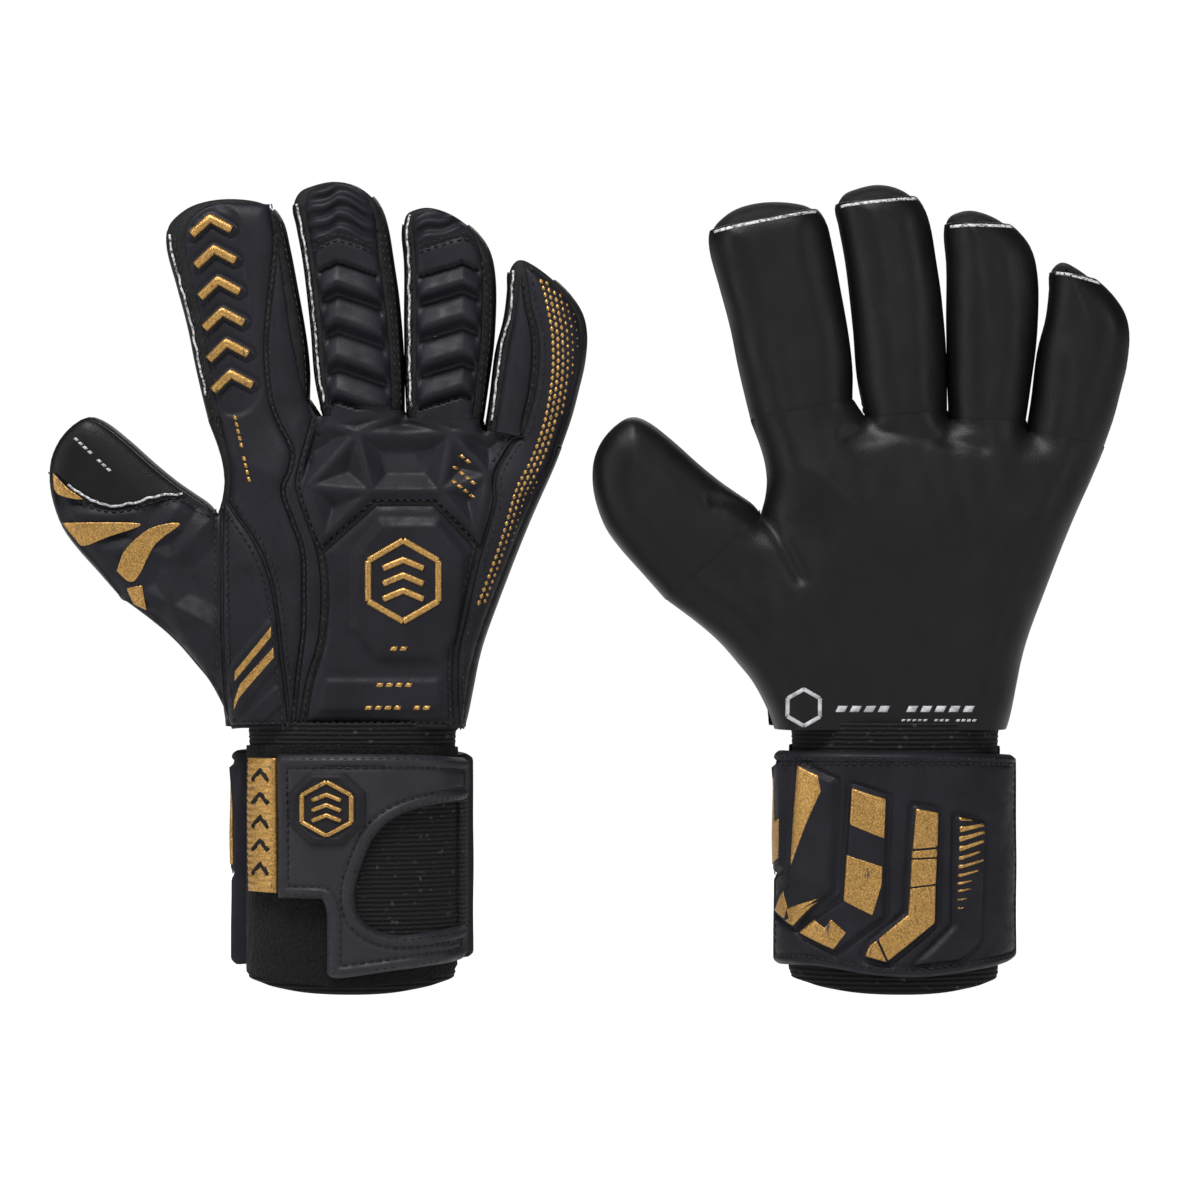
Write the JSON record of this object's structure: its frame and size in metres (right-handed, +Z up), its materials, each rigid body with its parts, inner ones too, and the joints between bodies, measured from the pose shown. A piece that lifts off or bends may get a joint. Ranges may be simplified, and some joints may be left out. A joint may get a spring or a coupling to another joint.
{
  "type": "goalkeeper gloves",
  "caption": "Pair of padded goalkeeper gloves with moulded backs, latex palms, rolled fingers, knitted cuffs and wrap-round wrist straps.",
  "frame": {"origin": "on the surface the cuffs stand on, at the middle of the pair's bounding box", "axes": "+X across the pair from the right glove to the left glove, +Y away from the right glove's back, +Z up along the fingers"},
  "size_m": [0.3928, 0.0588, 0.2931],
  "materials": {
    "latex": "satin foam latex, black",
    "lining": "fine mesh",
    "back_panel": "matte embossed foam",
    "gold_print": "metallic gold print on foam",
    "knit": "ribbed elastic knit",
    "hook_and_loop": "fuzzy loop pile",
    "spine": "flexible plastic"
  },
  "bodies": {
    "right_hand": {"right_palm_latex": "latex", "right_hand_lining": "lining", "right_back_pad": "back_panel", "right_knuckle_panel": "back_panel", "right_index_side_panel": "back_panel", "right_pinky_side_panel": "gold_print", "right_thumb_gusset": "back_panel", "right_thumb_base_panel": "back_panel", "right_cuff_elastic": "knit", "right_wrist_wrap": "latex", "right_loop_patch": "hook_and_loop"},
    "right_index": {"right_index_roll": "latex", "right_index_back": "back_panel", "right_index_spine": "spine"},
    "right_middle": {"right_middle_roll": "latex", "right_middle_back": "back_panel", "right_middle_spine": "spine"},
    "right_ring": {"right_ring_roll": "latex", "right_ring_back": "back_panel", "right_ring_spine": "spine"},
    "right_pinky": {"right_pinky_roll": "latex", "right_pinky_back": "back_panel", "right_pinky_spine": "spine"},
    "right_thumb": {"right_thumb_roll": "latex", "right_thumb_back": "back_panel"},
    "right_strap": {"right_strap_panel": "back_panel", "right_strap_elastic": "knit", "right_strap_badge": "gold_print", "right_strap_tab": "gold_print", "right_hook_patch": "hook_and_loop"},
    "left_hand": {"left_palm_latex": "latex", "left_hand_lining": "lining", "left_back_pad": "back_panel", "left_knuckle_panel": "back_panel", "left_index_side_panel": "back_panel", "left_pinky_side_panel": "gold_print", "left_thumb_gusset": "back_panel", "left_thumb_base_panel": "back_panel", "left_cuff_elastic": "knit", "left_wrist_wrap": "latex", "left_loop_patch": "hook_and_loop"},
    "left_index": {"left_index_roll": "latex", "left_index_back": "back_panel", "left_index_spine": "spine"},
    "left_middle": {"left_middle_roll": "latex", "left_middle_back": "back_panel", "left_middle_spine": "spine"},
    "left_ring": {"left_ring_roll": "latex", "left_ring_back": "back_panel", "left_ring_spine": "spine"},
    "left_pinky": {"left_pinky_roll": "latex", "left_pinky_back": "back_panel", "left_pinky_spine": "spine"},
    "left_thumb": {"left_thumb_roll": "latex", "left_thumb_back": "back_panel"},
    "left_strap": {"left_strap_panel": "back_panel", "left_strap_elastic": "knit", "left_strap_badge": "gold_print", "left_strap_tab": "gold_print", "left_hook_patch": "hook_and_loop"}
  },
  "joints": [
    {"name": "right_index_flex", "type": "hinge", "parent": "right_hand", "child": "right_index", "pos_m": [-0.12307, 0, 0.224], "axis": [-0.981, 0, -0.1942], "range_deg": [0, 65], "stiffness_Nm_per_rad": 0.05},
    {"name": "right_middle_flex", "type": "hinge", "parent": "right_hand", "child": "right_middle", "pos_m": [-0.08407, 0, 0.222], "axis": [-0.9952, 0, -0.0976], "range_deg": [0, 65], "stiffness_Nm_per_rad": 0.05},
    {"name": "right_ring_flex", "type": "hinge", "parent": "right_hand", "child": "right_ring", "pos_m": [-0.05307, 0, 0.22], "axis": [-0.9998, 0, 0.0209], "range_deg": [0, 65], "stiffness_Nm_per_rad": 0.05},
    {"name": "right_pinky_flex", "type": "hinge", "parent": "right_hand", "child": "right_pinky", "pos_m": [-0.02257, 0, 0.213], "axis": [-0.9816, 0, 0.1908], "range_deg": [0, 65], "stiffness_Nm_per_rad": 0.05},
    {"name": "right_thumb_flex", "type": "hinge", "parent": "right_hand", "child": "right_thumb", "pos_m": [-0.16207, 0, 0.166], "axis": [-0.7771, 0, -0.6293], "range_deg": [0, 50], "stiffness_Nm_per_rad": 0.05},
    {"name": "right_strap_open", "type": "hinge", "parent": "right_hand", "child": "right_strap", "pos_m": [-0.04257, 0, 0.047], "axis": [0, 0, 1], "range_deg": [0, 150]},
    {"name": "left_glove_slide", "type": "slide", "parent": "right_hand", "child": "left_hand", "axis": [0, -1, 0], "range_m": [0, 0.08]},
    {"name": "left_index_flex", "type": "hinge", "parent": "left_hand", "child": "left_index", "pos_m": [0.07393, 0, 0.224], "axis": [0.981, 0, 0.1942], "range_deg": [0, 65], "stiffness_Nm_per_rad": 0.05},
    {"name": "left_middle_flex", "type": "hinge", "parent": "left_hand", "child": "left_middle", "pos_m": [0.11293, 0, 0.222], "axis": [0.9952, 0, 0.0976], "range_deg": [0, 65], "stiffness_Nm_per_rad": 0.05},
    {"name": "left_ring_flex", "type": "hinge", "parent": "left_hand", "child": "left_ring", "pos_m": [0.14393, 0, 0.22], "axis": [0.9998, 0, -0.0209], "range_deg": [0, 65], "stiffness_Nm_per_rad": 0.05},
    {"name": "left_pinky_flex", "type": "hinge", "parent": "left_hand", "child": "left_pinky", "pos_m": [0.17443, 0, 0.213], "axis": [0.9816, 0, -0.1908], "range_deg": [0, 65], "stiffness_Nm_per_rad": 0.05},
    {"name": "left_thumb_flex", "type": "hinge", "parent": "left_hand", "child": "left_thumb", "pos_m": [0.03493, 0, 0.166], "axis": [0.7771, 0, 0.6293], "range_deg": [0, 50], "stiffness_Nm_per_rad": 0.05},
    {"name": "left_strap_open", "type": "hinge", "parent": "left_hand", "child": "left_strap", "pos_m": [0.15443, 0, 0.047], "axis": [0, 0, -1], "range_deg": [0, 150]}
  ]
}
